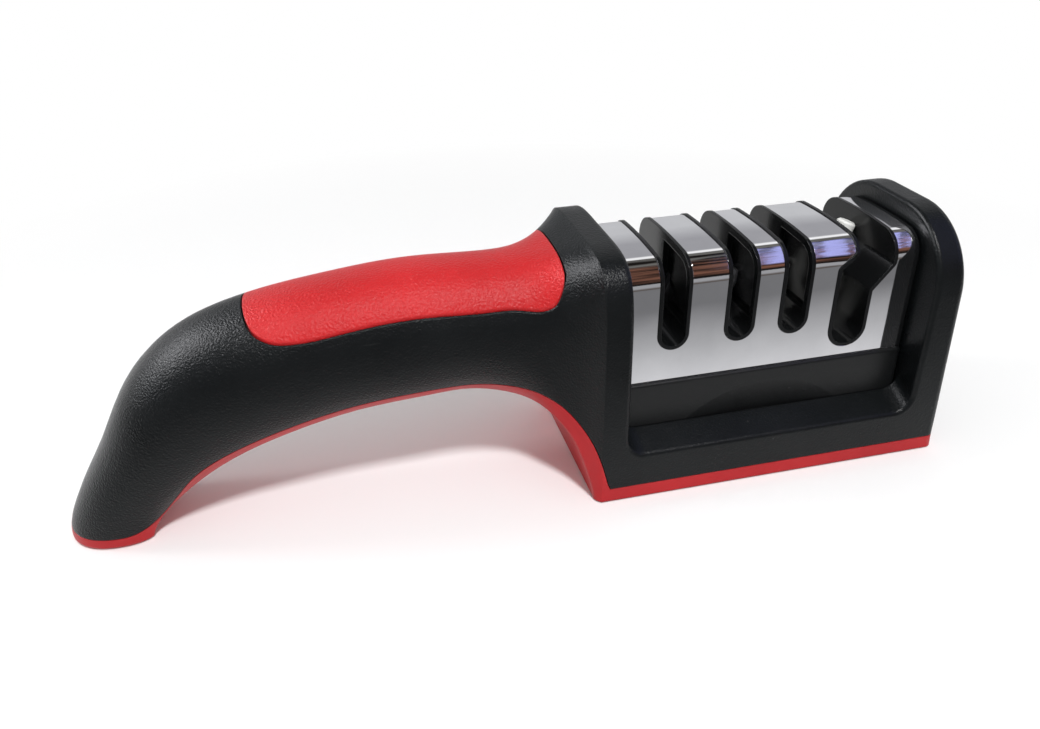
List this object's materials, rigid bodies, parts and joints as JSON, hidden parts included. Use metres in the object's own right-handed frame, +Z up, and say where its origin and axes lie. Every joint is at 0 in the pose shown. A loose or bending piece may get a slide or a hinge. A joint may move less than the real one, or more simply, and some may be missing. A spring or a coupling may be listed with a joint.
{
  "type": "pull through knife sharpener",
  "caption": "Hand-held pull-through sharpener with an arched handle, a saddle-shaped head and a lift-out cartridge whose slots sharpen and hone blades.",
  "frame": {"origin": "on the floor plane, under the middle of the length and width", "axes": "+Z up, +X from the handle's tip to the head's end plate, +Y to the rear"},
  "size_m": [0.2231, 0.0514, 0.0646],
  "materials": {
    "black_plastic": "satin, fine spark-eroded grain",
    "red_plastic": "satin",
    "red_grip": "soft-touch, fine grain",
    "foot_rubber": "matte",
    "screw_steel": "zinc-plated",
    "body_plastic": "satin",
    "chrome": "mirror-polished",
    "carbide": "ground",
    "holder_plastic": "matte",
    "diamond_grit": "fine grit",
    "ceramic": "fine matte ceramic"
  },
  "bodies": {
    "base": {"handle_shell": "black_plastic", "bottom_cover": "red_plastic", "grip_inlay": "red_grip", "foot_pad": "foot_rubber", "cover_screws": "screw_steel"},
    "cartridge": {"cartridge_body": "body_plastic", "chrome_cover": "chrome", "cartridge_tray": "black_plastic", "cartridge_screws": "screw_steel", "carbide_blade_front": "carbide", "carbide_blade_rear": "carbide", "carbide_clamp": "holder_plastic", "clamp_screw": "screw_steel", "diamond_rod_front": "diamond_grit", "diamond_rod_rear": "diamond_grit", "diamond_rod_holder": "holder_plastic", "ceramic_rod_front": "ceramic", "ceramic_rod_rear": "ceramic", "ceramic_rod_holder": "holder_plastic", "scissor_rod_front": "ceramic", "scissor_rod_rear": "ceramic", "scissor_rod_holder": "holder_plastic"}
  },
  "joints": [
    {"name": "cartridge_lift", "type": "slide", "parent": "base", "child": "cartridge", "axis": [0, 0, 1], "range_m": [0, 0.06]}
  ]
}
